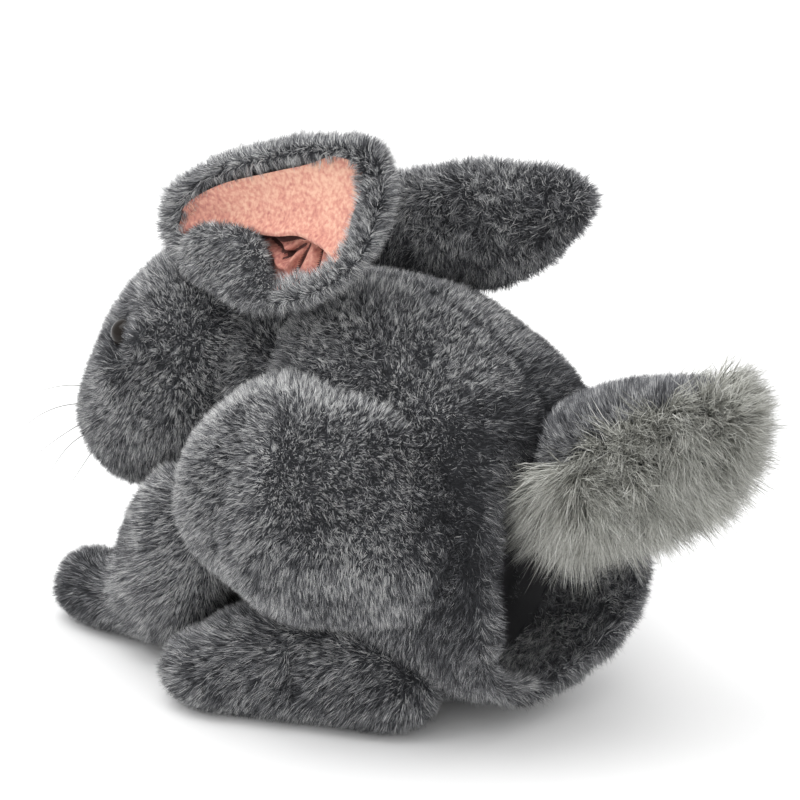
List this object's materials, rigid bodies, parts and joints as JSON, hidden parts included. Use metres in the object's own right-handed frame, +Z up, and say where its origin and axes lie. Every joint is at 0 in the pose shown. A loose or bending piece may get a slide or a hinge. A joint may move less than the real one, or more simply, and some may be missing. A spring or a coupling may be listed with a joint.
{
  "type": "rabbit hand puppet",
  "caption": "Crouching plush rabbit hand puppet with a lined hand opening under the tail, lop ears, stuffed head, forelegs and hind feet.",
  "frame": {"origin": "centre of the bounding box at the surface the toy rests on", "axes": "the nose points to -Y and the tail to +Y, the rabbit's left side is +X, +Z is up"},
  "size_m": [0.1944, 0.3382, 0.2559],
  "materials": {
    "plush_grey": "long-pile plush, charcoal with frosted tips",
    "plush_pale": "long soft pile, pale grey-beige",
    "lining": "smooth black lining cloth",
    "velour": "short pink velour",
    "stuffing": "polyester fibre",
    "eye": "polished",
    "washer": "moulded",
    "nose": "short velour",
    "thread": "stranded thread",
    "whisker": "clear monofilament"
  },
  "bodies": {
    "body": {"body_panel_left": "plush_grey", "body_panel_right": "plush_grey", "spine_seam": "thread", "belly_panel": "plush_grey", "chest_panel": "plush_grey", "body_padding": "stuffing", "hand_lining": "lining", "opening_hem": "lining", "thigh_left": "plush_grey", "thigh_right": "plush_grey", "thigh_stuffing_left": "stuffing", "thigh_stuffing_right": "stuffing"},
    "neck": {"neck_sleeve": "lining"},
    "head": {"head_panel_left": "plush_grey", "head_panel_right": "plush_grey", "head_gusset": "plush_grey", "muzzle_patch": "plush_grey", "head_stuffing": "stuffing", "head_pocket": "lining", "nose": "nose", "mouth_stitch": "thread", "eye_left": "eye", "eye_right": "eye", "eye_washer_left": "washer", "eye_washer_right": "washer", "whiskers_left": "whisker", "whiskers_right": "whisker"},
    "ear_left": {"ear_back_left": "plush_grey", "ear_lining_left": "velour"},
    "ear_right": {"ear_back_right": "plush_grey", "ear_lining_right": "velour"},
    "foreleg_left": {"foreleg_skin_left": "plush_grey", "foreleg_stuffing_left": "stuffing", "foreleg_pocket_left": "lining"},
    "foreleg_right": {"foreleg_skin_right": "plush_grey", "foreleg_stuffing_right": "stuffing", "foreleg_pocket_right": "lining"},
    "hind_foot_left": {"foot_skin_left": "plush_grey", "foot_stuffing_left": "stuffing"},
    "hind_foot_right": {"foot_skin_right": "plush_grey", "foot_stuffing_right": "stuffing"},
    "tail": {"tail_top": "plush_grey", "tail_underside": "plush_pale", "tail_stuffing": "stuffing"}
  },
  "joints": [
    {"name": "head_turn", "type": "hinge", "parent": "body", "child": "neck", "pos_m": [0, -0.0579, 0.118], "axis": [0, 0, 1], "range_deg": [-18, 18], "stiffness_Nm_per_rad": 0.15},
    {"name": "head_nod", "type": "hinge", "parent": "neck", "child": "head", "pos_m": [0, -0.0579, 0.118], "axis": [1, 0, 0], "range_deg": [-6, 10], "stiffness_Nm_per_rad": 0.6, "springref_deg": -4.58},
    {"name": "ear_left_raise", "type": "hinge", "parent": "head", "child": "ear_left", "pos_m": [0.03, -0.0939, 0.183], "axis": [1, 0, 0], "range_deg": [0, 35]},
    {"name": "ear_right_raise", "type": "hinge", "parent": "head", "child": "ear_right", "pos_m": [-0.025, -0.0789, 0.1825], "axis": [1, 0, 0], "range_deg": [0, 35]},
    {"name": "foreleg_left_swing", "type": "hinge", "parent": "body", "child": "foreleg_left", "pos_m": [0.04, -0.0759, 0.058], "axis": [1, 0, 0], "range_deg": [-20, 5]},
    {"name": "foreleg_right_swing", "type": "hinge", "parent": "body", "child": "foreleg_right", "pos_m": [-0.04, -0.0759, 0.058], "axis": [1, 0, 0], "range_deg": [-20, 5]},
    {"name": "hind_foot_left_drop", "type": "hinge", "parent": "body", "child": "hind_foot_left", "pos_m": [0.048, 0.0281, 0.022], "axis": [1, 0, 0], "range_deg": [0, 35]},
    {"name": "hind_foot_right_drop", "type": "hinge", "parent": "body", "child": "hind_foot_right", "pos_m": [-0.048, 0.0281, 0.022], "axis": [1, 0, 0], "range_deg": [0, 35]},
    {"name": "tail_lift", "type": "hinge", "parent": "body", "child": "tail", "pos_m": [0, 0.0791, 0.15], "axis": [1, 0, 0], "range_deg": [0, 38]}
  ]
}
